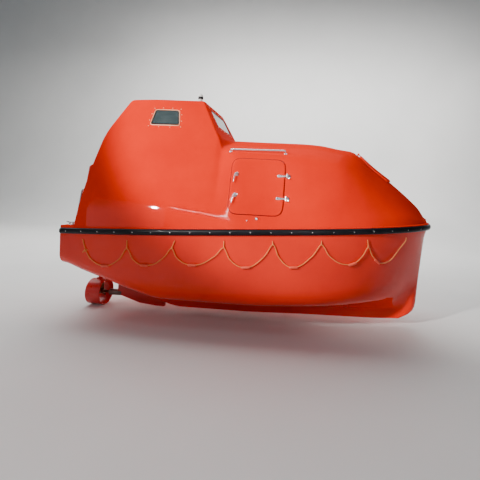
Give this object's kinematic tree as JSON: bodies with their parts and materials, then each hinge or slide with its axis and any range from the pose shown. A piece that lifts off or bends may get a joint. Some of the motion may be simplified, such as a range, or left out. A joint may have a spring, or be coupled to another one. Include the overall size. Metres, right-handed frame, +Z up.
{
  "type": "totally enclosed lifeboat",
  "caption": "Small totally enclosed lifeboat with a raised steering tower, side, bow and aft hatches, rubber fender, looped grab lines and a propeller in a steering nozzle.",
  "frame": {"origin": "amidships on the centreline, at the waterline", "axes": "+X to the bow, +Y to port, +Z up"},
  "size_m": [5.0603, 2.2006, 3.1873],
  "materials": {
    "orange_gelcoat": "glossy glass-fibre gelcoat",
    "red_paint": "semi-gloss paint",
    "fender_rubber": "matt",
    "window_glass": "clear, grey-green",
    "chrome": "polished",
    "stainless_steel": "satin",
    "cabin_liner": "semi-gloss",
    "rope": "braided",
    "white_plastic": "glossy",
    "dark_fittings": "matt",
    "bronze": "satin bronze"
  },
  "bodies": {
    "boat": {"hull": "orange_gelcoat", "canopy": "orange_gelcoat", "fender": "fender_rubber", "skeg": "red_paint", "stern_tube": "stainless_steel", "stock_bearing": "red_paint", "window_starboard": "window_glass", "window_port": "window_glass", "window_front": "window_glass", "window_aft": "window_glass", "hinge_base_starboard_upper": "chrome", "hinge_base_starboard_lower": "chrome", "hinge_base_port_upper": "chrome", "hinge_base_port_lower": "chrome", "grab_rail_starboard": "stainless_steel", "grab_rail_port": "stainless_steel", "aft_rail_starboard": "stainless_steel", "aft_rail_port": "stainless_steel", "cleat_starboard_aft": "stainless_steel", "cleat_port_aft": "stainless_steel", "lamp": "white_plastic", "sole": "cabin_liner", "bench_starboard": "cabin_liner", "bench_port": "cabin_liner", "engine": "dark_fittings", "helm_seat": "dark_fittings", "helm_console": "cabin_liner", "aft_hook": "stainless_steel", "fore_hook": "stainless_steel", "grab_line_starboard": "rope", "grab_line_port": "rope"},
    "starboard_hatch": {"hatch_starboard": "orange_gelcoat", "hinge_strap_starboard_upper": "chrome", "hinge_strap_starboard_lower": "chrome", "dog_starboard_upper": "chrome", "dog_starboard_lower": "chrome"},
    "port_hatch": {"hatch_port": "orange_gelcoat", "hinge_strap_port_upper": "chrome", "hinge_strap_port_lower": "chrome", "dog_port_upper": "chrome", "dog_port_lower": "chrome"},
    "bow_hatch": {"hatch_bow": "orange_gelcoat"},
    "aft_hatch": {"hatch_aft": "orange_gelcoat"},
    "propeller": {"propeller": "bronze"},
    "steering_nozzle": {"steering_nozzle": "red_paint"},
    "helm_wheel": {"helm_wheel": "dark_fittings"}
  },
  "joints": [
    {"name": "starboard_hatch_swing", "type": "hinge", "parent": "boat", "child": "starboard_hatch", "pos_m": [0.4874, -0.9612, 1.2061], "axis": [0.0004, 0.1707, 0.9853], "range_deg": [0, 110]},
    {"name": "port_hatch_swing", "type": "hinge", "parent": "boat", "child": "port_hatch", "pos_m": [0.4874, 0.9612, 1.2061], "axis": [-0.0004, 0.1707, -0.9853], "range_deg": [0, 110]},
    {"name": "bow_hatch_lift", "type": "hinge", "parent": "boat", "child": "bow_hatch", "pos_m": [1.4279, 0, 1.7615], "axis": [0, -1, 0], "range_deg": [0, 100]},
    {"name": "aft_hatch_lift", "type": "hinge", "parent": "boat", "child": "aft_hatch", "pos_m": [-2.3173, 0, 1.3028], "axis": [0, 1, 0], "range_deg": [0, 100]},
    {"name": "propeller_spin", "type": "hinge", "parent": "boat", "child": "propeller", "pos_m": [-2.414, 0, -0.51], "axis": [1, 0, 0], "continuous": true},
    {"name": "nozzle_steer", "type": "hinge", "parent": "boat", "child": "steering_nozzle", "pos_m": [-2.434, 0, -0.51], "axis": [0, 0, 1], "range_deg": [-35, 35]},
    {"name": "helm_wheel_turn", "type": "hinge", "parent": "boat", "child": "helm_wheel", "pos_m": [-0.96, 0, 1.43], "axis": [1, 0, 0], "range_deg": [-540, 540]}
  ],
  "couplings": [
    {"joint": "helm_wheel_turn", "follows": "nozzle_steer", "ratio": 15}
  ]
}
